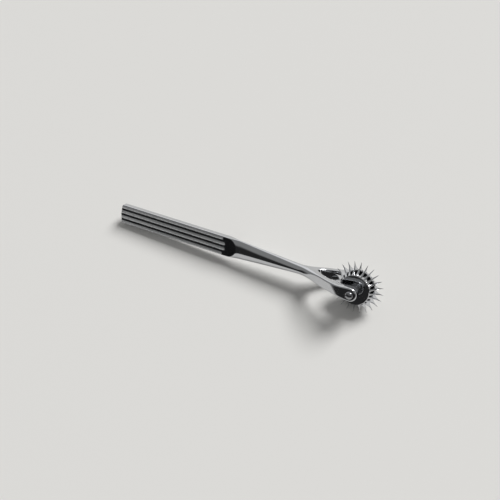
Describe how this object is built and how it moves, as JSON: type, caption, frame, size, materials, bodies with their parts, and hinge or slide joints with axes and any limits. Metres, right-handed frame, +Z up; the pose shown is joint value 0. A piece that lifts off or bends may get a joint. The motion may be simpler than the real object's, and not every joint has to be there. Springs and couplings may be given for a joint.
{
  "type": "neurological pinwheel",
  "caption": "Hand-held neurological pinwheel: a flat ribbed steel handle that narrows to a fork, which carries a freely turning wheel of sharp spikes for testing feeling in the skin.",
  "frame": {"origin": "On the table under the middle of the tool's box, as it lies at rest: leaning over on the butt, the lowest spike and the rim of the far arm.", "axes": "+X from the butt to the wheel, level. +Y across the tool, away from the side that has the screw head. +Z up from the table. The handle's broad faces and the wheel lean over by 44 degrees about X, and the wheel end stands up by 2 degrees."},
  "size_m": [0.1796, 0.0232, 0.023],
  "materials": {
    "polished_steel": "mirror-polished stainless steel with fine wipe marks",
    "wheel_steel": "polished faces, with finely milled flanks between the spikes",
    "screw_steel": "polished, with turned rings on the dome"
  },
  "bodies": {
    "handle": {"handle_fork": "polished_steel", "axle_screw": "screw_steel", "near_spacer": "polished_steel", "far_spacer": "polished_steel"},
    "wheel": {"spiked_wheel": "wheel_steel"}
  },
  "joints": [
    {"name": "wheel_spin", "type": "hinge", "parent": "handle", "child": "wheel", "pos_m": [0.0738, 0, 0.0115], "axis": [0.025, 0.7163, -0.6973], "continuous": true}
  ]
}
